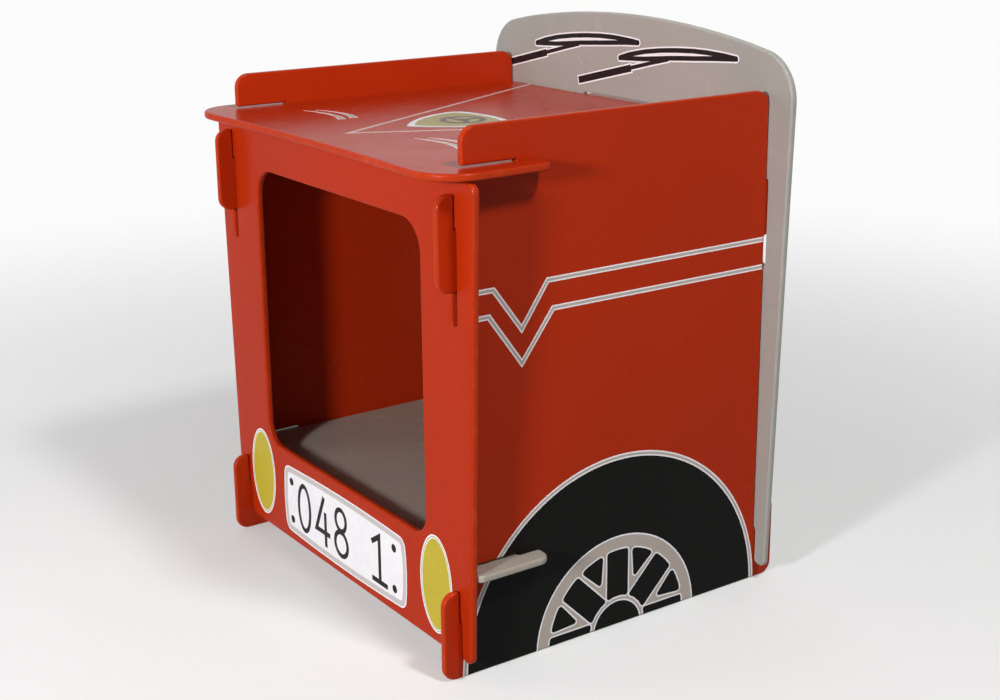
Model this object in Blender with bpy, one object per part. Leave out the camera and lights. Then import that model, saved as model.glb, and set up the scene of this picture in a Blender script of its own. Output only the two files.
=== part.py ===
"""Children's bedside cabinet in the shape of a small car.

Six lacquered boards slot together with no fasteners. The two sides stand on the floor, and their
edges carry hooks. The front and the back hang on those hooks by slots. The top and the lower shelf
slide in from the front: their wings cross the sides in halved joints, and their tongues enter the
back.

Metres, +Z up. The front faces -Y, and the origin is on the floor below the middle of the cabinet.
Every board is drawn flat, in its own two coordinates, and then stood up in its place. Depths (d) are
measured backwards from the outer face of the front board.
"""

import math

import bmesh
import bpy
from mathutils import Matrix, Vector
from mathutils.geometry import delaunay_2d_cdt

# Driving dimensions
BOARD = 0.008  # thickness of all six boards
SIDE_FACE_X = 0.238  # outer face of each side
CARCASS_DEPTH = 0.399  # outer face of the front board to the inner face of the back board
TOP_SURFACE_Z = 0.520
SHELF_SURFACE_Z = 0.1165
RAIL_Z = 0.559  # the sides rise above the top and form rails
ARCH_Z = 0.621  # crown of the back

# Board edges
EDGE_RADIUS = 0.0024
EDGE_STEPS = 3
RAIL_RADIUS = 0.016
INNER_RADIUS = 0.0015  # left by the cutter in inner corners
SMALL_RADIUS = 0.003  # just over EDGE_RADIUS, which an outer corner can't go below
CHORD_ERROR = 0.00012  # how far an arc's chords may leave the arc
WELD = 1e-7  # below this distance two points are one

# Joints
GAP = 0.0003  # between boards that touch
PLAY = 0.0005  # on each side of a board in a slot
HOOK_REACH = 0.020  # how far hooks stand out from the front and the back
HOOK_RADIUS = 0.014
DROP = 0.034  # the front and the back are lowered this far onto their hooks
LOWER_NECK_Z = (0.0, 0.061)
UPPER_NECK_Z = (0.402, 0.463)
SLOT_CROWN = 0.0012  # lets a slot's round end clear the rounded neck that carries it
NOTCH_DEPTH = 0.071  # of the halved joints
NOTCH_ROOM = 0.0015  # above a board in its notch
TONGUE_HALF_WIDTH = 0.080
TONGUE_REACH = 0.012  # how far tongues stand out behind the back
TONGUE_RADIUS = 0.006

# Front board
FRONT_BOTTOM_Z = 0.020
FRONT_TOP_Z = 0.510
EAR_HALF_WIDTH = 0.254  # half the width of front and back, at the floor
EAR_TAPER = 0.030  # growth of that half width with height
EAR_FOOT_RADIUS = 0.0072
EAR_TOP_RADIUS = 0.009
WINDOW_HALF_WIDTH = 0.174
WINDOW_Z = (0.130, 0.459)
WINDOW_RADII = (0.025, 0.033)  # lower and upper corners

# Back board
BACK_BOTTOM_Z = 0.018
ARCH_RADIUS = 1.230
ARCH_POINTS = 8
SHOULDER_X = 0.200  # where the arch turns into the shoulders
SHOULDER_RADIUS = 0.052

# Top board and shelf
OVERHANG = 0.034  # of the top's front corners beyond the front board
FRONT_BOW = 0.006  # how far the middle of the top's front edge lies behind its corners
BOW_POINTS = 6
BOW_X = 0.205
TOP_WING_X = (0.263, 0.266)  # outer edge of a wing, at its rear and its front
TOP_WING_DEPTH = 0.098
TOP_CORNER_RADIUS = 0.045
SHELF_WING_X = 0.260
SHELF_WING_DEPTH = 0.096
SHELF_CORNER_RADIUS = 0.007
WING_END_RADIUS = 0.012

# Lacquer colours
RED = (0.50, 0.030, 0.008)
GREY = (0.40, 0.345, 0.315)
LACQUER_ROUGHNESS = 0.3

# Worked out from the sizes above
FRONT_EDGE = BOARD + GAP  # front edge of the sides and the shelf
REAR_EDGE = CARCASS_DEPTH - GAP  # rear edge of the sides, the top and the shelf
THROAT = BOARD + 2 * GAP  # between a hook and the edge it grows from
HOOK_LENGTH = GAP + BOARD + HOOK_REACH
SIDE_INNER_X = SIDE_FACE_X - BOARD
SLOT_X = (SIDE_INNER_X - PLAY, SIDE_FACE_X + PLAY)
SLOT_RADIUS = (SLOT_X[1] - SLOT_X[0]) / 2 * 0.98
DEPTH = OVERHANG + CARCASS_DEPTH + BOARD + HOOK_REACH
FRONT_FACE_Y = OVERHANG - DEPTH / 2


def clear_scene():
    for thing in list(bpy.data.objects):
        bpy.data.objects.remove(thing)


def lacquer(name, colour):
    """A plain coat of lacquer."""
    material = bpy.data.materials.new(name)
    material.use_nodes = True
    shader = material.node_tree.nodes["Principled BSDF"]
    shader.inputs["Base Color"].default_value = (*colour, 1.0)
    shader.inputs["Roughness"].default_value = LACQUER_ROUGHNESS
    shader.inputs["Metallic"].default_value = 0.0
    return material


def rounded(corners):
    """The closed outline through corners (u, v, radius), with an arc at each corner that has a radius."""
    outline = []
    for index, (u, v, radius) in enumerate(corners):
        corner = Vector((u, v))
        if radius == 0:
            outline.append(corner)
            continue
        following = corners[(index + 1) % len(corners)]
        back = (Vector(corners[index - 1][:2]) - corner).normalized()
        ahead = (Vector(following[:2]) - corner).normalized()
        half = back.angle(ahead) / 2
        centre = corner + (back + ahead).normalized() * radius / math.sin(half)
        spoke = corner + back * radius / math.tan(half) - centre
        sweep = math.pi - 2 * half
        turn = math.copysign(sweep, ahead.cross(back))
        steps = max(2, math.ceil(sweep / (2 * math.acos(1 - CHORD_ERROR / radius))))
        for step in range(steps + 1):
            outline.append(centre + Matrix.Rotation(turn * step / steps, 2) @ spoke)
    return outline


def with_mirror_image(half):
    """A whole outline from the corners of its right half, which run from the lower middle to the upper."""
    return half + [(-u, v, radius) for u, v, radius in reversed(half) if u > 0]


def rectangle(low_u, high_u, low_v, high_v, low_radius, high_radius):
    """The corners of an upright rectangle."""
    return [
        (low_u, low_v, low_radius),
        (high_u, low_v, low_radius),
        (high_u, high_v, high_radius),
        (low_u, high_v, high_radius),
    ]


def inset(outline, distance):
    """The outline moved to its left, which is the side its board lies on."""
    moved = []
    for index, point in enumerate(outline):
        arriving = (point - outline[index - 1]).normalized()
        leaving = (outline[(index + 1) % len(outline)] - point).normalized()
        normals = Vector((-arriving.y, arriving.x)) + Vector((-leaving.y, leaving.x))
        moved.append(point + normals * distance / (1 + arriving.dot(leaving)))
    return moved


def edge_profile():
    """Inset and height of each ring of vertices around a rounded edge, from the lower face to the upper."""
    flank = BOARD / 2 - EDGE_RADIUS
    angles = [math.pi / 2 * step / EDGE_STEPS for step in range(EDGE_STEPS + 1)]
    upper = [(EDGE_RADIUS * (1 - math.cos(a)), flank + EDGE_RADIUS * math.sin(a)) for a in angles]
    lower = [(inward, -height) for inward, height in reversed(upper)]
    return lower + upper


def fill(shape, loops):
    """Closes the flat face of a board between its outline and its holes with triangles."""
    vertices = []
    borders = []
    for loop in loops:
        borders.append([len(vertices) + i for i in range(len(loop))])
        vertices += loop
    flat = [vertex.co.xy for vertex in vertices]
    inside_with_holes = 2
    triangles = delaunay_2d_cdt(flat, [], borders, inside_with_holes, WELD)[2]
    for triangle in triangles:
        shape.faces.new([vertices[i] for i in triangle])


def board_mesh(name, corners, holes=()):
    """A board of the given outline and holes, lying flat and halved by its own plane z = 0."""
    outlines = [rounded(corners)] + [rounded(hole)[::-1] for hole in holes]
    shape = bmesh.new()
    profile = edge_profile()
    lower_loops = []
    upper_loops = []
    for outline in outlines:
        rings = []
        for inward, height in profile:
            rings.append([shape.verts.new((*point, height)) for point in inset(outline, inward)])
        for low, high in zip(rings, rings[1:]):
            for i in range(len(outline)):
                shape.faces.new((low[i - 1], low[i], high[i], high[i - 1]))
        lower_loops.append(rings[0])
        upper_loops.append(rings[-1])
    fill(shape, lower_loops)
    fill(shape, upper_loops)
    bmesh.ops.recalc_face_normals(shape, faces=shape.faces)
    mesh = bpy.data.meshes.new(name)
    shape.to_mesh(mesh)
    shape.free()
    mesh.shade_smooth()
    mesh.set_sharp_from_angle(angle=math.radians(40))
    return mesh


def place(name, mesh, location, colour, turn=(0.0, 0.0, 0.0)):
    """Puts a board in its place."""
    board = bpy.data.objects.new(name, mesh)
    board.location = location
    board.rotation_euler = [math.radians(angle) for angle in turn]
    if not mesh.materials:
        mesh.materials.append(lacquer(name + "_lacquer", colour))
    bpy.context.scene.collection.objects.link(board)
    return board


def neck_bottom_and_slot(neck):
    """Lowest and highest point of the slot that a neck needs, once the board hangs on it."""
    return neck[0] - DROP, neck[1] + SLOT_CROWN


def hook(neck, foot_radius):
    """A hook's corners, upwards, as (distance out from the side's edge, height, radius)."""
    tip = neck[1] + DROP
    return [
        (HOOK_LENGTH, neck[0], foot_radius),
        (HOOK_LENGTH, tip, HOOK_RADIUS),
        (THROAT, tip, SMALL_RADIUS),
        (THROAT, neck[1], INNER_RADIUS),
        (0.0, neck[1], INNER_RADIUS),
    ]


def both_hooks():
    """The corners of a side's whole edge, upwards from the floor to the end of the upper hook."""
    under_upper_hook = (0.0, UPPER_NECK_Z[0], INNER_RADIUS)
    return hook(LOWER_NECK_Z, HOOK_RADIUS) + [under_upper_hook] + hook(UPPER_NECK_Z, HOOK_RADIUS)


def notch(surface):
    """The notch in a side's front edge for a board whose upper surface is at that height, upwards."""
    low = surface - BOARD - GAP
    high = surface + NOTCH_ROOM
    return [
        (FRONT_EDGE, low, SMALL_RADIUS),
        (NOTCH_DEPTH, low, INNER_RADIUS),
        (NOTCH_DEPTH, high, INNER_RADIUS),
        (FRONT_EDGE, high, SMALL_RADIUS),
    ]


def side_corners():
    """A side, as (depth, height, radius)."""
    rear = [(REAR_EDGE + out, height, radius) for out, height, radius in both_hooks()]
    front = [(FRONT_EDGE - out, height, radius) for out, height, radius in both_hooks()]
    lower_hook = front[: len(front) // 2]
    upper_hook = front[len(front) // 2 :]
    front = lower_hook + notch(SHELF_SURFACE_Z) + upper_hook + notch(TOP_SURFACE_Z)
    rails = [(REAR_EDGE, RAIL_Z, RAIL_RADIUS), (FRONT_EDGE, RAIL_Z, RAIL_RADIUS)]
    return rear + rails + front[::-1]


def ear_x(height):
    """Half the width of the front and the back at a height."""
    return EAR_HALF_WIDTH + EAR_TAPER * height


def lower_edge(bottom):
    """Right half of the lower edge of the front or the back, with the open slot for the lower neck."""
    slot_top = neck_bottom_and_slot(LOWER_NECK_Z)[1]
    return [
        (SLOT_X[0], bottom, EAR_FOOT_RADIUS),
        (SLOT_X[0], slot_top, SLOT_RADIUS),
        (SLOT_X[1], slot_top, SLOT_RADIUS),
        (SLOT_X[1], bottom, EAR_FOOT_RADIUS),
        (ear_x(bottom), bottom, EAR_FOOT_RADIUS),
    ]


def upper_slots():
    """The closed slots for both upper necks."""
    low, high = neck_bottom_and_slot(UPPER_NECK_Z)
    right = rectangle(*SLOT_X, low, high, SLOT_RADIUS, SLOT_RADIUS)
    left = rectangle(-SLOT_X[1], -SLOT_X[0], low, high, SLOT_RADIUS, SLOT_RADIUS)
    return [right, left]


def front_mesh():
    corners = lower_edge(FRONT_BOTTOM_Z) + [(ear_x(FRONT_TOP_Z), FRONT_TOP_Z, EAR_TOP_RADIUS)]
    window = rectangle(-WINDOW_HALF_WIDTH, WINDOW_HALF_WIDTH, *WINDOW_Z, *WINDOW_RADII)
    return board_mesh("front_panel", with_mirror_image(corners), [window, *upper_slots()])


def arch_z(x):
    """Height of the back's arch."""
    return ARCH_Z - ARCH_RADIUS + math.sqrt(ARCH_RADIUS**2 - x**2)


def tongue_slot(surface):
    """The slot in the back for the tongue of a board whose upper surface is at that height."""
    half_width = TONGUE_HALF_WIDTH + TONGUE_RADIUS / 2
    low = surface - BOARD - GAP
    return rectangle(-half_width, half_width, low, surface + NOTCH_ROOM, SMALL_RADIUS, SMALL_RADIUS)


def back_mesh():
    shoulder_x = ear_x(arch_z(EAR_HALF_WIDTH))
    shoulder = (shoulder_x, arch_z(shoulder_x), SHOULDER_RADIUS)
    arch = []
    for step in range(ARCH_POINTS + 1):
        x = SHOULDER_X * (1 - step / ARCH_POINTS)
        arch.append((x, arch_z(x), 0))
    corners = lower_edge(BACK_BOTTOM_Z) + [shoulder] + arch
    holes = [*upper_slots(), tongue_slot(TOP_SURFACE_Z), tongue_slot(SHELF_SURFACE_Z)]
    return board_mesh("back_panel", with_mirror_image(corners), holes)


def slit_and_tongue(wing_x, wing_depth):
    """From a wing's outer rear corner to the end of the tongue, as (x, depth, radius)."""
    tongue_end = CARCASS_DEPTH + BOARD + TONGUE_REACH
    slit_end = NOTCH_DEPTH - GAP
    body_x = SIDE_INNER_X - GAP
    return [
        (wing_x, wing_depth, WING_END_RADIUS),
        (SLOT_X[1], wing_depth, SMALL_RADIUS),
        (SLOT_X[1], slit_end, INNER_RADIUS),
        (body_x, slit_end, INNER_RADIUS),
        (body_x, REAR_EDGE, SMALL_RADIUS),
        (TONGUE_HALF_WIDTH, REAR_EDGE, INNER_RADIUS),
        (TONGUE_HALF_WIDTH, tongue_end, TONGUE_RADIUS),
    ]


def top_mesh():
    front_edge = []
    for step in range(BOW_POINTS + 1):
        x = BOW_X * step / BOW_POINTS
        front_edge.append((x, FRONT_BOW * (1 - (x / BOW_X) ** 2) - OVERHANG, 0))
    corner = (TOP_WING_X[1], -OVERHANG, TOP_CORNER_RADIUS)
    corners = front_edge + [corner] + slit_and_tongue(TOP_WING_X[0], TOP_WING_DEPTH)
    return board_mesh("top_panel", with_mirror_image(corners))


def shelf_mesh():
    corner = (SHELF_WING_X, FRONT_EDGE, SHELF_CORNER_RADIUS)
    corners = [corner] + slit_and_tongue(SHELF_WING_X, SHELF_WING_DEPTH)
    return board_mesh("lower_shelf", with_mirror_image(corners))


def build():
    clear_scene()
    side_mesh = board_mesh("side_panel", side_corners())
    side_x = SIDE_FACE_X - BOARD / 2
    facing_sideways = (90.0, 0.0, 90.0)
    place("side_panel_right", side_mesh, (side_x, FRONT_FACE_Y, 0.0), RED, facing_sideways)
    place("side_panel_left", side_mesh, (-side_x, FRONT_FACE_Y, 0.0), RED, facing_sideways)

    facing_front = (90.0, 0.0, 0.0)
    front_y = FRONT_FACE_Y + BOARD / 2
    place("front_panel", front_mesh(), (0.0, front_y, 0.0), RED, facing_front)
    back_y = FRONT_FACE_Y + CARCASS_DEPTH + BOARD / 2
    place("back_panel", back_mesh(), (0.0, back_y, 0.0), GREY, facing_front)

    top_z = TOP_SURFACE_Z - BOARD / 2
    place("top_panel", top_mesh(), (0.0, FRONT_FACE_Y, top_z), RED)
    shelf_z = SHELF_SURFACE_Z - BOARD / 2
    place("lower_shelf", shelf_mesh(), (0.0, FRONT_FACE_Y, shelf_z), GREY)


build()
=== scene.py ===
"""Looks of a children's bedside cabinet in the shape of a small car.

Its six boards keep their CAD meshes and get lacquer. The prints on them are thin sheets of ink: a
wheel and two stripes on each side, a number plate and headlights on the front, a bonnet line, a badge
and vents on the top, and two wipers on the back.

Print outlines are in millimetres, as (u, v) in the plane of their board. On the front, the top and
the back, u runs from the middle towards the right side, and on the sides u is the depth behind the
front's outer face. On the top v is that depth, and on the other boards v is the height above the floor.
"""

import math

import bmesh
import bpy
from mathutils import Matrix, Vector
from mathutils.geometry import delaunay_2d_cdt


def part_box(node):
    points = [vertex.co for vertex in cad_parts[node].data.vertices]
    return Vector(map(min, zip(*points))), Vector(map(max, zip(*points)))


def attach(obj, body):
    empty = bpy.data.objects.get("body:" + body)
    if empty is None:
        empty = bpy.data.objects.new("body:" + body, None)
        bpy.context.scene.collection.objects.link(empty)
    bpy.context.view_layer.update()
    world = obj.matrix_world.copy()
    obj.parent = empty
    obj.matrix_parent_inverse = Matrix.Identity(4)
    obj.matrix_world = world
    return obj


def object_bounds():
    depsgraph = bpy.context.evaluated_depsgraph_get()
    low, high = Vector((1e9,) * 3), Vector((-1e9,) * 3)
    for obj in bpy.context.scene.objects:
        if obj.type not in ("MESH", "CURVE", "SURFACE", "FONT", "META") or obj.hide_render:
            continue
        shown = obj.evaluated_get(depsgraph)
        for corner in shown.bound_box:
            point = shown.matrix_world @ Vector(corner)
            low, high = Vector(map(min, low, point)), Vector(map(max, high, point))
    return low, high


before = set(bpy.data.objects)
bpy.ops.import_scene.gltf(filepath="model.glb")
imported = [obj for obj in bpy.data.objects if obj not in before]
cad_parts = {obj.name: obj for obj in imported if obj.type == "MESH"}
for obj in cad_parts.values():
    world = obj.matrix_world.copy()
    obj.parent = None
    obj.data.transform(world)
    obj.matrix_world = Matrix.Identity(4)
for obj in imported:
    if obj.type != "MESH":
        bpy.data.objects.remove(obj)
cad_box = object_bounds()

MM = 0.001

# Board faces that carry print, from the frame
SIDE_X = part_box("side_panel_right")[1].x
FRONT_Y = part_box("front_panel")[0].y
BACK_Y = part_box("back_panel")[0].y
TOP_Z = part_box("top_panel")[1].z
SHELF_UNDER_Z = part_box("lower_shelf")[0].z
SHELF_UPPER_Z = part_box("lower_shelf")[1].z
REAR_DEPTH = (BACK_Y - FRONT_Y) / MM  # of the back's inner face, behind the front's outer face

# Edges of the sides, in the same depths and heights as the prints
SIDE_FRONT = 8.3
SIDE_GAP = 0.3  # to the back, and under the shelf
NECK_START = 0.5  # where the print on the lower hook's neck starts
NECK_TOP = 61.0
NOTCH_DEPTH = 71.0
NOTCH_ROOM = 1.5  # above the shelf
ABOVE_STRIPES = 500.0  # a height that no print on the sides reaches

# Ink
INK_HEIGHT = 0.00012  # how far it stands above the lacquer
INK_DEPTH = 0.0002  # how far it reaches into the board
EDGE_MARGIN = 2.6  # width of a board's rounded edge, which the sheets of ink stop short of
WELD = 1e-4  # below this distance, in millimetres, two points of a print are one

# Wheel
WHEEL_CENTRE = (200.0, -4.0)
ARCH_RADII = (199.0, 197.3, 194.8, 193.1)  # white, silver and white lines round the tyre
TYRE_RADIUS = ARCH_RADII[3]
RIM_RADII = (107.3, 105.5)
OPENING_RADII = (37.6, 91.0)  # inner and outer ends of the rim's openings
OPENING_HALF_WIDTH = 14.3
OPENING_CORNER = 3.2
WEDGE_HALF_ANGLE = math.radians(10.1)
WEDGE_TIP = 57.5  # distance of the three-sided openings' inner corner from the centre
HUB_RADII = (33.2, 31.4)
OUTLINE = 1.8  # white line round each opening
SPOKES = 8

# Side stripes
STRIPE_WIDTHS = (5.5, 2.7)  # white edges, silver core
UPPER_STRIPE = [(0, 398), (42.7, 398), (75.8, 353.5), (107.3, 398), (420, 398)]
LOWER_STRIPE = [(0, 372), (37, 372), (76, 318.5), (114, 368.5), (420, 367.5)]

# Number plate
PLATE_CENTRE = (-2.0, 72.5)
PLATE_HALF_SIZE = (134.0, 40.5)
PLATE_BOW = 3.5  # how far the middle of each side bulges
PLATE_CORNER = 12.0
STROKE = 6.0  # of the digits
SCREW_RADIUS = 4.7

# Headlights
HEADLIGHT_CENTRE = (192.5, 85.5)
HEADLIGHT_HALF_SIZE = (30.0, 54.0)

# Bonnet
BONNET_LINE = [(-192, 402), (0, 24), (192, 402)]
BONNET_LINE_WIDTH = 4.2
BONNET_AREA = (-225, 225, 10, REAR_DEPTH - 3)  # the part of the top that the line may cover
EMBLEM_CENTRE = (0.0, 168.0)

# Wipers
BLADE_WIDTH = 5.4
HANDLE_WIDTH = 8.4
ARM_WIDTH = 4.6
WIPER_OUTLINE = 1.7

# Lacquers and inks, linear
RED = (0.453, 0.0265, 0.0030)
GREY = (0.388, 0.370, 0.338)
# The shelf's grey is the back's grey lacquer made darker and warmer: painted shade and red bounce from the
# inside of the cabinet
SHELF_GREY_WITH_PAINTED_SHADE = (0.380, 0.335, 0.285)
# Edge colours, paler and more orange than the faces: partly wear of a thin coat, partly a painted highlight
RED_EDGE_WEAR_AND_HIGHLIGHT = (0.56, 0.055, 0.012)
GREY_EDGE_WEAR_AND_HIGHLIGHT = (0.47, 0.44, 0.40)
SHELF_EDGE_WEAR_AND_HIGHLIGHT = (0.48, 0.44, 0.39)
INKS = {
    "black": (0.0085, 0.0080, 0.0075),
    "charcoal": (0.022, 0.017, 0.018),
    "white": (0.93, 0.90, 0.93),
    "pale": (0.70, 0.60, 0.56),
    "silver": (0.51, 0.44, 0.385),
    "border": (0.60, 0.55, 0.535),
    "yellow": (0.56, 0.44, 0.042),
    "olive": (0.42, 0.38, 0.145),
    "slate": (0.125, 0.115, 0.115),
}
LACQUER_IOR = 1.25
INK_IOR = 1.24

# Scales of the noise in lacquer and ink, per metre
CLOUDS = 7.0
SMEARS = 24.0
RUBBED_SPOTS = 55.0
UNEVEN_INK = 60.0
ORANGE_PEEL = 300.0
SPECKLES = 420.0
FINE_GRAIN = 800.0

# Studio floor, in metres
SWEEP_SIDES = 64
FLAT_RADII = (1.0, 3.0, 6.0)  # rings of the flat floor
BEND_RADIUS = 3.0
BEND_ANGLES = (0.4, 0.8, 1.2, 1.57)
WALL_TOP = 9.0
FLOOR_DROP = 0.0002  # below the cabinet's feet
PAPER = (0.90, 0.90, 0.90, 1.0)
GLOW = (1.0, 1.0, 1.0, 1.0)
GLOW_STRENGTH = 0.97

# Lights: place, diameter in metres, watts
KEY_LIGHT = ((0.95, -2.50, 1.03), 0.33, 56.0)
TOP_LIGHT = ((1.76, 0.15, 2.65), 0.42, 43.0)
FILL_LIGHT = ((-1.60, -2.60, 1.20), 1.6, 16.0)

# Surroundings
DIM_BELOW = (0.30, 0.30, 0.305)
DIM_ABOVE = (0.07, 0.07, 0.07)
WHITE_WALL = (0.74, 0.74, 0.74)
WALL_DIRECTION = (-0.80, 0.60, 0.0)

# Camera, with its angles in radians
CAMERA_PLACE = (1.4398, -0.9806, 0.7915)
CAMERA_YAW = 0.9639  # round from straight in front, towards the right side
CAMERA_PITCH = 0.2697  # how far it looks down
CAMERA_ROLL = -0.0084
CAMERA_LENS = 56.93
CAMERA_SHIFT = -0.05


# ---------------------------------------------------------------- outlines, in millimetres


def ellipse(centre, half_width, half_height, steps=72):
    """An ellipse with upright axes."""
    points = []
    for step in range(steps):
        angle = 2 * math.pi * step / steps
        offset = (half_width * math.cos(angle), half_height * math.sin(angle))
        points.append(Vector((centre[0] + offset[0], centre[1] + offset[1])))
    return points


def circle(centre, radius):
    return ellipse(centre, radius, radius, max(32, int(radius * 1.2)))


def rectangle(low_u, high_u, low_v, high_v):
    return [(low_u, low_v), (high_u, low_v), (high_u, high_v), (low_u, high_v)]


def rounded(corners, steps=6):
    """The closed outline through corners (u, v, radius), with an arc at each corner that has a radius."""
    outline = []
    for index, (u, v, radius) in enumerate(corners):
        corner = Vector((u, v))
        if radius == 0:
            outline.append(corner)
            continue
        following = corners[(index + 1) % len(corners)]
        back = (Vector(corners[index - 1][:2]) - corner).normalized()
        ahead = (Vector(following[:2]) - corner).normalized()
        half = back.angle(ahead) / 2
        centre = corner + (back + ahead).normalized() * radius / math.sin(half)
        spoke = corner + back * radius / math.tan(half) - centre
        turn = math.copysign(math.pi - 2 * half, ahead.cross(back))
        for step in range(steps + 1):
            outline.append(centre + Matrix.Rotation(turn * step / steps, 2) @ spoke)
    return outline


def ribbon(points, widths, grow=0.0):
    """The outline of a line through the points, as wide at each as its width plus grow on every side."""
    points = [Vector(point) for point in points]
    if isinstance(widths, (int, float)):
        widths = [widths] * len(points)
    count = len(points)
    left = []
    right = []
    for index, point in enumerate(points):
        arriving = (point - points[max(index - 1, 0)]).normalized()
        leaving = (points[min(index + 1, count - 1)] - point).normalized()
        if index == 0:
            arriving = leaving
            point = point - leaving * grow
        if index == count - 1:
            leaving = arriving
            point = point + arriving * grow
        normals = Vector((-arriving.y - leaving.y, arriving.x + leaving.x))
        across = normals * (widths[index] / 2 + grow) / (1 + arriving.dot(leaving))
        left.append(point + across)
        right.append(point - across)
    return right + left[::-1]


def curve(start, middle, end, steps=14):
    """Points on the parabola that passes from start to end and is pulled towards middle."""
    start, middle, end = Vector(start), Vector(middle), Vector(end)
    points = []
    for step in range(steps + 1):
        t = step / steps
        points.append(start * (1 - t) ** 2 + middle * 2 * t * (1 - t) + end * t**2)
    return points


def turned(outline, centre, degrees):
    """An outline about (0, 0), turned and moved to a centre."""
    turn = Matrix.Rotation(math.radians(degrees), 2)
    return [turn @ Vector(point) + Vector(centre) for point in outline]


def moved(outline, by):
    return [Vector(point) + Vector(by) for point in outline]


# ---------------------------------------------------------------- ink


def plane(origin, across, up, normal):
    """The matrix from a board's face, in metres, to the frame."""
    rows = [(*column, 0.0) for column in (across, up, normal)] + [(*origin, 1.0)]
    return Matrix(rows).transposed()


SIDE_PLANES = {
    "right": plane((SIDE_X, FRONT_Y, 0), (0, 1, 0), (0, 0, 1), (1, 0, 0)),
    "left": plane((-SIDE_X, FRONT_Y, 0), (0, 1, 0), (0, 0, 1), (-1, 0, 0)),
}
FRONT_PLANE = plane((0, FRONT_Y, 0), (1, 0, 0), (0, 0, 1), (0, -1, 0))
BACK_PLANE = plane((0, BACK_Y, 0), (1, 0, 0), (0, 0, 1), (0, -1, 0))
TOP_PLANE = plane((0, FRONT_Y, TOP_Z), (1, 0, 0), (0, 1, 0), (0, 0, 1))


def anticlockwise(outline):
    area = 0.0
    for index, point in enumerate(outline):
        area += outline[index - 1][0] * point[1] - point[0] * outline[index - 1][1]
    return outline if area > 0 else outline[::-1]


def painted_triangles(layers, windows):
    """Points and inked triangles of layers (ink, outline), each painted over those before it.

    Only what lies in one of the windows is kept, if there are any.
    """
    points = []
    borders = []
    for outline in [outline for ink, outline in layers] + list(windows):
        outline = anticlockwise(outline)
        borders.append([len(points) + i for i in range(len(outline))])
        points += [Vector(point) for point in outline]
    every_triangle = 0
    result = delaunay_2d_cdt(points, [], borders, every_triangle, WELD)
    flat, triangles, origins = result[0], result[2], result[5]
    kept = []
    for triangle, inside in zip(triangles, origins):
        covering = [index for index in inside if index < len(layers)]
        framed = not windows or any(index >= len(layers) for index in inside)
        if covering and framed:
            kept.append((layers[max(covering)][0], triangle))
    return flat, kept


def printed(name, layers, face, windows=()):
    """A closed sheet of ink on a board's face: one piece, with a material for each ink."""
    flat, triangles = painted_triangles(layers, windows)
    names = list(dict.fromkeys(ink for ink, triangle in triangles))
    used = {i for ink, triangle in triangles for i in triangle}
    sheet = bmesh.new()
    levels = []
    for height in (-INK_DEPTH, INK_HEIGHT):
        levels.append({i: sheet.verts.new((flat[i].x * MM, flat[i].y * MM, height)) for i in used})
    low, high = levels
    borders = {}
    for ink, triangle in triangles:
        colour = names.index(ink)
        upper = sheet.faces.new([high[i] for i in triangle])
        lower = sheet.faces.new([low[i] for i in reversed(triangle)])
        upper.material_index = colour
        lower.material_index = colour
        for i in range(3):
            edge = (triangle[i - 1], triangle[i])
            if edge[::-1] in borders:
                del borders[edge[::-1]]
            else:
                borders[edge] = colour
    for (start, end), colour in borders.items():
        wall = sheet.faces.new((low[start], low[end], high[end], high[start]))
        wall.material_index = colour
    sheet.transform(face)
    bmesh.ops.recalc_face_normals(sheet, faces=sheet.faces)
    mesh = bpy.data.meshes.new(name)
    sheet.to_mesh(mesh)
    sheet.free()
    piece = bpy.data.objects.new(name, mesh)
    bpy.context.scene.collection.objects.link(piece)
    for ink in names:
        mesh.materials.append(ink_material(ink))
    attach(piece, "root")
    return piece


# ---------------------------------------------------------------- materials


def new_material(name):
    material = bpy.data.materials.new(name)
    material.use_nodes = True
    return material, material.node_tree


def add(tree, kind, inputs=None, **settings):
    """A node with the given settings. Inputs are values, or the sockets to link from."""
    node = tree.nodes.new(kind)
    for key, value in settings.items():
        setattr(node, key, value)
    for key, value in (inputs or {}).items():
        if isinstance(value, bpy.types.NodeSocket):
            tree.links.new(value, node.inputs[key])
        else:
            node.inputs[key].default_value = value
    return node


def noise(tree, place, scale, detail=2.0):
    """Noise whose features are about 1 / scale metres across."""
    node = add(tree, "ShaderNodeTexNoise", {"Vector": place, "Scale": scale, "Detail": detail})
    return node.outputs["Fac"]


def mapped(tree, value, low, high, to_low, to_high):
    """The value, brought smoothly from low..high to to_low..to_high."""
    inputs = {"Value": value, "From Min": low, "From Max": high, "To Min": to_low, "To Max": to_high}
    node = add(tree, "ShaderNodeMapRange", inputs, interpolation_type="SMOOTHSTEP")
    return node.outputs["Result"]


def calculated(tree, operation, *values):
    node = add(tree, "ShaderNodeMath", dict(enumerate(values)), operation=operation)
    return node.outputs[0]


def blended(tree, share, first, second, blend_type="MIX"):
    """Colour first, changed to second by share."""
    node = tree.nodes.new("ShaderNodeMix")
    node.data_type = "RGBA"
    node.blend_type = blend_type
    for socket, value in ((0, share), (6, first), (7, second)):
        if isinstance(value, bpy.types.NodeSocket):
            tree.links.new(value, node.inputs[socket])
        elif socket == 0:
            node.inputs[0].default_value = value
        else:
            node.inputs[socket].default_value = (*value, 1.0)
    return node.outputs[2]


def bumps(tree, place):
    """The relief of a sprayed coat: orange peel a few millimetres across, and finer grain."""
    peel = add(
        tree,
        "ShaderNodeBump",
        {"Height": noise(tree, place, ORANGE_PEEL), "Strength": 0.05, "Distance": 0.0004},
    )
    grain = add(
        tree,
        "ShaderNodeBump",
        {
            "Height": noise(tree, place, FINE_GRAIN),
            "Strength": 0.03,
            "Distance": 0.0002,
            "Normal": peel.outputs["Normal"],
        },
    )
    return grain.outputs["Normal"]


def tinted(colour, factor):
    return tuple(min(1.0, channel * factor) for channel in colour)


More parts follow.
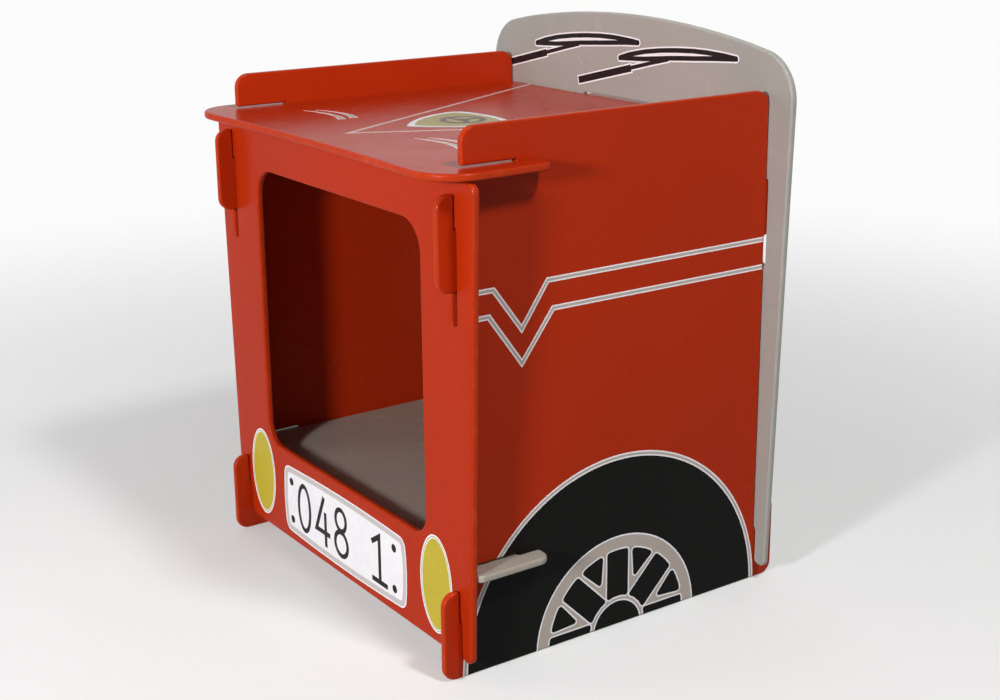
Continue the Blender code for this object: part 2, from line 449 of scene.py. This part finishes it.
def lacquer_material(name, colour, edge_wear_and_highlight_colour, axis, wheel=False):
    """Sprayed lacquer on a board whose faces look along the axis (0, 1 or 2).

    The coat is paler and more orange on the board's rounded edges and narrow sides, in rubbed places:
    worn thinner there, and a painted highlight. With wheel, the rounded edges inside the printed tyre
    are inked too.
    """
    material, tree = new_material(name)
    shader = tree.nodes["Principled BSDF"]
    place = add(tree, "ShaderNodeTexCoord").outputs["Object"]

    cloudy = noise(tree, place, CLOUDS, 3.0)
    speckled = noise(tree, place, SPECKLES, 1.0)
    body = blended(
        tree, mapped(tree, cloudy, 0.3, 0.7, 0.0, 1.0), tinted(colour, 0.98), tinted(colour, 1.02)
    )
    body = blended(tree, mapped(tree, speckled, 0.35, 0.75, 0.0, 0.07), body, tinted(colour, 1.35))

    normal = add(tree, "ShaderNodeNewGeometry").outputs["Normal"]
    parts = add(tree, "ShaderNodeSeparateXYZ", {"Vector": normal}).outputs
    facing = calculated(tree, "ABSOLUTE", parts[axis])
    edge = mapped(tree, facing, 0.97, 0.45, 0.0, 1.0)
    rubbed = mapped(tree, noise(tree, place, RUBBED_SPOTS, 4.0), 0.50, 0.78, 0.30, 1.0)
    # Paler, more orange edges where rubbed: wear, and a painted highlight on the rounded edges and narrow
    # sides
    body = blended(tree, calculated(tree, "MULTIPLY", edge, rubbed), body, edge_wear_and_highlight_colour)

    if wheel:
        body = inked_edges(tree, place, body)
    tree.links.new(body, shader.inputs["Base Color"])

    smears = noise(tree, place, SMEARS, 3.0)
    roughness = mapped(tree, smears, 0.3, 0.72, 0.23, 0.28)
    roughness = calculated(tree, "ADD", roughness, calculated(tree, "MULTIPLY", edge, 0.05))
    tree.links.new(roughness, shader.inputs["Roughness"])
    tree.links.new(bumps(tree, place), shader.inputs["Normal"])
    shader.inputs["IOR"].default_value = LACQUER_IOR
    return material


def inked_edges(tree, place, body):
    """The colour of a side, with ink on the rounded edges that lie inside its printed wheel.

    The sheets of ink cover the flat face, so these rings only show on the edges.
    """
    spread = add(tree, "ShaderNodeSeparateXYZ", {"Vector": place}).outputs
    along = calculated(tree, "SUBTRACT", spread[1], FRONT_Y + WHEEL_CENTRE[0] * MM)
    above = calculated(tree, "SUBTRACT", spread[2], WHEEL_CENTRE[1] * MM)
    squares = [calculated(tree, "MULTIPLY", part, part) for part in (along, above)]
    radius = calculated(tree, "SQRT", calculated(tree, "ADD", *squares))
    outward = calculated(tree, "ABSOLUTE", spread[0])
    printed_face = calculated(tree, "GREATER_THAN", outward, SIDE_X - EDGE_MARGIN * MM)
    rings = [
        (ARCH_RADII[0], INKS["white"]),
        (ARCH_RADII[1], INKS["silver"]),
        (ARCH_RADII[2], INKS["white"]),
        (TYRE_RADIUS, INKS["black"]),
        (RIM_RADII[0], INKS["white"]),
        (RIM_RADII[1], INKS["silver"]),
        (OPENING_RADII[1], INKS["black"]),
        (OPENING_RADII[0], INKS["silver"]),
        (HUB_RADII[1], INKS["black"]),
    ]
    for reach, colour in rings:
        within = calculated(tree, "LESS_THAN", radius, reach * MM)
        body = blended(tree, calculated(tree, "MULTIPLY", within, printed_face), body, colour)
    return body


def ink_material(ink):
    """Screen-printed ink, with slight unevenness in colour and gloss."""
    known = bpy.data.materials.get("ink_" + ink)
    if known:
        return known
    material, tree = new_material("ink_" + ink)
    shader = tree.nodes["Principled BSDF"]
    colour = INKS[ink]
    place = add(tree, "ShaderNodeTexCoord").outputs["Object"]
    uneven = mapped(tree, noise(tree, place, UNEVEN_INK, 4.0), 0.3, 0.7, 0.0, 1.0)
    body = blended(tree, uneven, tinted(colour, 0.98), tinted(colour, 1.02))
    speckled = mapped(tree, noise(tree, place, SPECKLES, 1.0), 0.40, 0.75, 0.0, 0.06)
    body = blended(tree, speckled, body, tinted(colour, 0.75))
    tree.links.new(body, shader.inputs["Base Color"])
    roughness = mapped(tree, noise(tree, place, SMEARS, 3.0), 0.3, 0.72, 0.26, 0.36)
    tree.links.new(roughness, shader.inputs["Roughness"])
    tree.links.new(bumps(tree, place), shader.inputs["Normal"])
    shader.inputs["IOR"].default_value = INK_IOR
    return material


# ---------------------------------------------------------------- boards


def rounding_group():
    """Geometry nodes that join the boards' split triangles, so that rounded edges shade smoothly."""
    group = bpy.data.node_groups.new("joined_triangles", "GeometryNodeTree")
    for way in ("INPUT", "OUTPUT"):
        group.interface.new_socket("Geometry", in_out=way, socket_type="NodeSocketGeometry")
    source = group.nodes.new("NodeGroupInput").outputs[0]
    joined = add(group, "GeometryNodeMergeByDistance", {"Geometry": source, "Distance": 2e-6})
    plain = add(
        group,
        "GeometryNodeRemoveAttribute",
        {"Geometry": joined.outputs[0], "Name": "custom_normal"},
    )
    smooth = add(
        group, "GeometryNodeSetShadeSmooth", {"Geometry": plain.outputs[0], "Shade Smooth": True}
    )
    group.links.new(smooth.outputs[0], group.nodes.new("NodeGroupOutput").inputs[0])
    return group


def dress(node, group, colour, edge_wear_and_highlight_colour):
    """Lacquer and smooth edges for a CAD board."""
    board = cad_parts[node]
    low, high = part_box(node)
    sizes = list(high - low)
    axis = sizes.index(min(sizes))
    wheel = node.startswith("side")
    for slot in board.material_slots:
        slot.material = lacquer_material("lacquer_" + node, colour, edge_wear_and_highlight_colour, axis, wheel)
    joining = board.modifiers.new("joined_triangles", "NODES")
    joining.node_group = group
    shading = board.modifiers.new("flat_faces", "WEIGHTED_NORMAL")
    shading.mode = "FACE_AREA"
    shading.weight = 100
    shading.keep_sharp = True


def dress_boards():
    group = rounding_group()
    for node in ("side_panel_right", "side_panel_left", "front_panel", "top_panel"):
        dress(node, group, RED, RED_EDGE_WEAR_AND_HIGHLIGHT)
    dress("back_panel", group, GREY, GREY_EDGE_WEAR_AND_HIGHLIGHT)
    # Painted shade: the shelf gets a darker, warmer copy of the back's grey lacquer
    dress("lower_shelf", group, SHELF_GREY_WITH_PAINTED_SHADE, SHELF_EDGE_WEAR_AND_HIGHLIGHT)


# ---------------------------------------------------------------- prints


def opening_outline(grow):
    """A four-sided opening of the rim, on the axis +u from the wheel's centre."""
    half = OPENING_HALF_WIDTH + grow
    inner, outer = OPENING_RADII[0] - grow, OPENING_RADII[1] + grow
    corner = OPENING_CORNER + grow
    tip = math.asin(half / outer)
    root = math.asin(half / inner)
    corners = []
    for radius, end in ((outer, tip), (inner, -root)):
        for share in (-1, -1 / 3, 1 / 3, 1):
            angle = end * share
            rounding = corner if abs(share) == 1 else 0
            corners.append((radius * math.cos(angle), radius * math.sin(angle), rounding))
    return rounded(corners)


def wedge_outline(grow):
    """A three-sided opening of the rim, on the axis +u. Grow moves its slanted sides outwards too."""
    outer = OPENING_RADII[1] + grow
    reach = WEDGE_HALF_ANGLE + grow / outer * 1.25
    tip = WEDGE_TIP - grow * 2.2
    corners = [(tip, 0.0, 2.6 + grow)]
    for share in (-1, -1 / 3, 1 / 3, 1):
        angle = reach * share
        rounding = 3.4 + grow if abs(share) == 1 else 0
        corners.append((outer * math.cos(angle), outer * math.sin(angle), rounding))
    return rounded(corners)


def wheel_layers():
    """The tyre, the rim with its openings, and the hub."""
    layers = []
    for radius, ink in zip(ARCH_RADII, ("white", "silver", "white", "black")):
        layers.append((ink, circle(WHEEL_CENTRE, radius)))
    layers.append(("white", circle(WHEEL_CENTRE, RIM_RADII[0])))
    layers.append(("silver", circle(WHEEL_CENTRE, RIM_RADII[1])))
    for grow, ink in ((OUTLINE, "white"), (0.0, "black")):
        for spoke in range(SPOKES):
            degrees = 360.0 / SPOKES * spoke
            between = degrees + 180.0 / SPOKES
            layers.append((ink, turned(opening_outline(grow), WHEEL_CENTRE, degrees)))
            layers.append((ink, turned(wedge_outline(grow), WHEEL_CENTRE, between)))
    layers.append(("white", circle(WHEEL_CENTRE, HUB_RADII[0])))
    layers.append(("black", circle(WHEEL_CENTRE, HUB_RADII[1])))
    return layers


def side_windows():
    """Where a side's face is flat: along the lower necks, and below, behind and above the notch."""
    front = SIDE_FRONT + EDGE_MARGIN
    rear = REAR_DEPTH - SIDE_GAP - EDGE_MARGIN
    notch_end = NOTCH_DEPTH + EDGE_MARGIN
    notch_low = SHELF_UNDER_Z / MM - SIDE_GAP - EDGE_MARGIN
    notch_high = SHELF_UPPER_Z / MM + NOTCH_ROOM + EDGE_MARGIN
    return [
        rectangle(NECK_START, REAR_DEPTH, EDGE_MARGIN, NECK_TOP),
        rectangle(front, rear, NECK_TOP, notch_low),
        rectangle(notch_end, rear, notch_low, notch_high),
        rectangle(front, rear, notch_high, ABOVE_STRIPES),
    ]


def side_prints(side):
    face = SIDE_PLANES[side]
    windows = side_windows()
    printed(f"wheel_{side}", wheel_layers(), face, windows)
    for name, line in (("upper", UPPER_STRIPE), ("lower", LOWER_STRIPE)):
        layers = []
        for width, ink in zip(STRIPE_WIDTHS, ("white", "silver")):
            layers.append((ink, ribbon(line, width)))
        printed(f"stripe_{name}_{side}", layers, face, windows[3:])


def plate_outline(grow):
    """A rectangle with bowed sides and rounded corners."""
    half_width, half_height = (half + grow for half in PLATE_HALF_SIZE)
    corner = PLATE_CORNER + grow
    sides = []
    for turn, (near, far) in enumerate([(half_width, half_height), (half_height, half_width)] * 2):
        steps = 12 if near > far else 4
        for step in range(steps):
            along = -1 + 2 * step / steps
            out = far + PLATE_BOW * (1 - along * along)
            point = Matrix.Rotation(math.pi / 2 * turn, 2) @ Vector((near * along, -out))
            point += Vector(PLATE_CENTRE)
            sides.append((point.x, point.y, corner if step == 0 else 0))
    return rounded(sides)


def plate_layers():
    """The plate, four digits and four screws."""
    layers = [
        ("white", plate_outline(0.0)),
        ("border", plate_outline(-1.6)),
        ("white", plate_outline(-7.5)),
    ]
    # 0
    layers.append(("charcoal", ellipse((-90.5, 71.2), 16.3, 30.5)))
    layers.append(("white", ellipse((-90.5, 71.2), 10.6, 24.6)))
    # 4
    layers.append(("charcoal", ribbon([(-30, 58), (-62.4, 58), (-42.5, 101)], STROKE)))
    layers.append(("charcoal", ribbon([(-40.5, 83), (-40.5, 41)], STROKE)))
    # 8
    for height, half_width, half_height in ((86.3, 14.2, 15.4), (57.8, 16.8, 17.0)):
        layers.append(("charcoal", ellipse((-4.5, height), half_width, half_height)))
    for height, half_width, half_height in ((86.3, 8.6, 9.8), (57.8, 11.0, 11.4)):
        layers.append(("white", ellipse((-4.5, height), half_width, half_height)))
    # 1
    layers.append(("charcoal", ribbon([(63, 86.5), (79.6, 97), (79.6, 44)], STROKE)))
    layers.append(("charcoal", ribbon([(62.5, 44), (95.5, 44)], STROKE)))
    # Screws
    for u in (-120.5, 110.0):
        for v in (95.0, 48.0):
            layers.append(("charcoal", circle((u, v), SCREW_RADIUS)))
    return layers


def headlight_layers(side):
    """A yellow ellipse with a thin olive line in its white rim. Side is 1 on the right, -1 on the left."""
    centre = (HEADLIGHT_CENTRE[0] * side, HEADLIGHT_CENTRE[1])
    half_width, half_height = HEADLIGHT_HALF_SIZE
    layers = []
    for inward, ink in ((0.0, "white"), (1.8, "olive"), (3.0, "white"), (4.2, "yellow")):
        layers.append((ink, ellipse(centre, half_width - inward, half_height - inward, 96)))
    return layers


def front_prints():
    printed("number_plate", plate_layers(), FRONT_PLANE)
    printed("headlight_right", headlight_layers(1), FRONT_PLANE)
    printed("headlight_left", headlight_layers(-1), FRONT_PLANE)


def badge_outline(inward):
    """A shield with its point towards the front."""
    right = curve((0, 94.0 + inward * 1.5), (47 - inward, 128), (57.0 - inward, 181), 12)
    rear = [(57.0 - inward, 184), (50 - inward, 203 - inward), (0, 210.5 - inward)]
    corner = curve(rear[0], (57.5 - inward, 200 - inward), (44 - inward, 204.5 - inward), 6)
    edge = curve(corner[-1], (22, 209.5 - inward), rear[2], 6)[1:]
    half = right + corner[1:] + edge
    left = [Vector((-point.x, point.y)) for point in reversed(half[1:-1])]
    return half + left


def badge_layers():
    """The shield, with a steering wheel on it."""
    layers = [
        ("slate", badge_outline(0.0)),
        ("white", badge_outline(1.2)),
        ("olive", badge_outline(8.0)),
    ]
    for ink, radius in (("slate", 26.0), ("olive", 18.5), ("slate", 8.0)):
        layers.append((ink, circle(EMBLEM_CENTRE, radius)))
    wheel_spoke = ribbon([(4.0, 0), (22.0, 0)], 6.5)
    for degrees in (-18.0, 198.0, 90.0):
        layers.append(("slate", turned(wheel_spoke, EMBLEM_CENTRE, degrees)))
    return layers


def vent_layers(shift):
    """Two strokes that swell towards their end, moved sideways by shift."""
    layers = []
    for start, middle, end in (
        ((-168.0, 61.0), (-125.0, 80.0), (-86.0, 65.0)),
        ((-164.0, 74.0), (-122.0, 96.0), (-85.0, 79.5)),
    ):
        line = moved(curve(start, middle, end), (shift, 0))
        count = len(line)
        for inward, ink in ((0.0, "white"), (2.4, "silver")):
            widths = [max(0.3, 1.0 + 8.5 * i / (count - 1) - inward) for i in range(count)]
            layers.append((ink, ribbon(line, widths)))
    return layers


def top_prints():
    windows = [rectangle(*BONNET_AREA)]
    bonnet = ribbon(BONNET_LINE, BONNET_LINE_WIDTH)
    printed("bonnet_line", [("pale", bonnet)], TOP_PLANE, windows)
    printed("bonnet_badge", badge_layers(), TOP_PLANE)
    printed("bonnet_vents_left", vent_layers(0.0), TOP_PLANE)
    printed("bonnet_vents_right", vent_layers(240.0), TOP_PLANE)


def wiper_layers(shift):
    """A bowed blade on a straight bar, with an arm and a handle."""
    blade = [(-13, 569.7), (4, 574.8), (32, 580.6), (60, 584.4), (88, 587.0), (115, 588.6)]
    blade += [(140, 588.9), (165, 588.0), (185, 586.4)]
    bar = [(-13, 569.2), (30, 572.0), (77, 577.2), (115, 580.4), (155, 583.9), (185, 586.0)]
    handle = [(-91.5, 535.4), (8.0, 559.4)]
    arm = [(6.0, 559.2), (44.0, 568.6), (74.0, 575.6)]
    parts = [(blade, BLADE_WIDTH), (bar, BLADE_WIDTH), (handle, HANDLE_WIDTH), (arm, ARM_WIDTH)]
    layers = []
    for grow, ink in ((WIPER_OUTLINE, "white"), (0.0, "charcoal")):
        for line, width in parts:
            layers.append((ink, moved(ribbon(line, width, grow), shift)))
        for line in (blade, bar):
            for point in (line[0], line[-1]):
                layers.append((ink, moved(circle(point, BLADE_WIDTH / 2 + grow), shift)))
    return layers


def back_prints():
    printed("wiper_right", wiper_layers((0.0, 0.0)), BACK_PLANE)
    printed("wiper_left", wiper_layers((-165.0, 3.5)), BACK_PLANE)


# ---------------------------------------------------------------- studio


def area_light(name, location, size, watts):
    """A soft round light aimed at the cabinet's middle."""
    light = bpy.data.lights.new(name, "AREA")
    light.shape = "DISK"
    light.size = size
    light.energy = watts
    lamp = bpy.data.objects.new(name, light)
    lamp.location = location
    aim = (cad_box[0] + cad_box[1]) / 2 - Vector(location)
    lamp.rotation_euler = aim.to_track_quat("-Z", "Y").to_euler()
    lamp.visible_camera = False
    bpy.context.scene.collection.objects.link(lamp)
    return lamp


def studio_sweep():
    """A pale floor that rises into a wall all round.

    It glows more with distance. It doesn't light the cabinet, or hide the surroundings from it.
    """
    shape = bmesh.new()
    profile = [(radius, 0.0) for radius in FLAT_RADII]
    for angle in BEND_ANGLES:
        out = FLAT_RADII[-1] + BEND_RADIUS * math.sin(angle)
        profile.append((out, BEND_RADIUS - BEND_RADIUS * math.cos(angle)))
    profile.append((FLAT_RADII[-1] + BEND_RADIUS, WALL_TOP))
    rings = []
    for radius, height in profile:
        ring = []
        for step in range(SWEEP_SIDES):
            angle = 2 * math.pi * step / SWEEP_SIDES
            ring.append(shape.verts.new((radius * math.cos(angle), radius * math.sin(angle), height)))
        rings.append(ring)
    shape.faces.new(rings[0])
    for low, high in zip(rings, rings[1:]):
        for i in range(SWEEP_SIDES):
            shape.faces.new((low[i], low[i - 1], high[i - 1], high[i]))
    mesh = bpy.data.meshes.new("studio_floor")
    shape.to_mesh(mesh)
    shape.free()
    mesh.shade_smooth()
    floor = bpy.data.objects.new("studio_floor", mesh)
    bpy.context.scene.collection.objects.link(floor)
    floor.location.z = cad_box[0].z - FLOOR_DROP
    floor.visible_diffuse = False
    floor.visible_glossy = False
    floor.visible_shadow = False

    material, tree = new_material("studio_paper")
    shader = tree.nodes["Principled BSDF"]
    shader.inputs["Base Color"].default_value = PAPER
    shader.inputs["Roughness"].default_value = 0.9
    shader.inputs["Specular IOR Level"].default_value = 0.0
    place = add(tree, "ShaderNodeTexCoord").outputs["Object"]
    away = add(tree, "ShaderNodeVectorMath", {0: place}, operation="LENGTH").outputs["Value"]
    glow = add(tree, "ShaderNodeEmission", {"Color": GLOW, "Strength": GLOW_STRENGTH})
    share = mapped(tree, away, 0.3, 2.2, 0.25, 1.0)
    mixed = add(
        tree,
        "ShaderNodeMixShader",
        {0: share, 1: shader.outputs[0], 2: glow.outputs[0]},
    )
    tree.links.new(mixed.outputs[0], tree.nodes["Material Output"].inputs["Surface"])
    mesh.materials.append(material)


def studio_sky():
    """Surroundings that are darkest overhead, with a white wall behind on the left for the top's gloss."""
    world = bpy.data.worlds.new("studio")
    bpy.context.scene.world = world
    world.use_nodes = True
    tree = world.node_tree
    toward = add(tree, "ShaderNodeTexCoord").outputs["Generated"]
    wall = Vector(WALL_DIRECTION).normalized()
    ahead = add(tree, "ShaderNodeVectorMath", {0: toward, 1: wall}, operation="DOT_PRODUCT")
    height = add(tree, "ShaderNodeSeparateXYZ", {"Vector": toward}).outputs[2]
    overhead = mapped(tree, height, -0.2, 0.5, 0.0, 1.0)
    dim = blended(tree, overhead, DIM_BELOW, DIM_ABOVE)
    share = mapped(tree, ahead.outputs["Value"], 0.35, 0.75, 0.0, 1.0)
    colour = blended(tree, share, dim, WHITE_WALL)
    tree.links.new(colour, tree.nodes["Background"].inputs["Color"])


def light_studio():
    """A key light from the front right, one high on the right, and a weak fill that leaves no highlight."""
    area_light("key", *KEY_LIGHT)
    area_light("top_light", *TOP_LIGHT)
    fill = area_light("fill", *FILL_LIGHT)
    fill.visible_glossy = False
    studio_sky()
    bpy.context.scene.view_settings.view_transform = "Standard"


def place_camera():
    """The view from the front right, a little above the top."""
    data = bpy.data.cameras.new("camera")
    data.sensor_width = 36.0
    data.lens = CAMERA_LENS
    data.shift_y = CAMERA_SHIFT
    data.clip_start = 0.05
    data.clip_end = 60.0
    level = math.cos(CAMERA_PITCH)
    back = Vector(
        (math.sin(CAMERA_YAW) * level, -math.cos(CAMERA_YAW) * level, math.sin(CAMERA_PITCH))
    )
    camera = bpy.data.objects.new("camera", data)
    camera.location = CAMERA_PLACE
    camera.rotation_mode = "QUATERNION"
    turn = Matrix.Rotation(CAMERA_ROLL, 3, "Z").to_quaternion()
    camera.rotation_quaternion = (-back).to_track_quat("-Z", "Y") @ turn
    bpy.context.scene.collection.objects.link(camera)
    bpy.context.scene.camera = camera


dress_boards()
for side in SIDE_PLANES:
    side_prints(side)
front_prints()
top_prints()
back_prints()
studio_sweep()
light_studio()
place_camera()
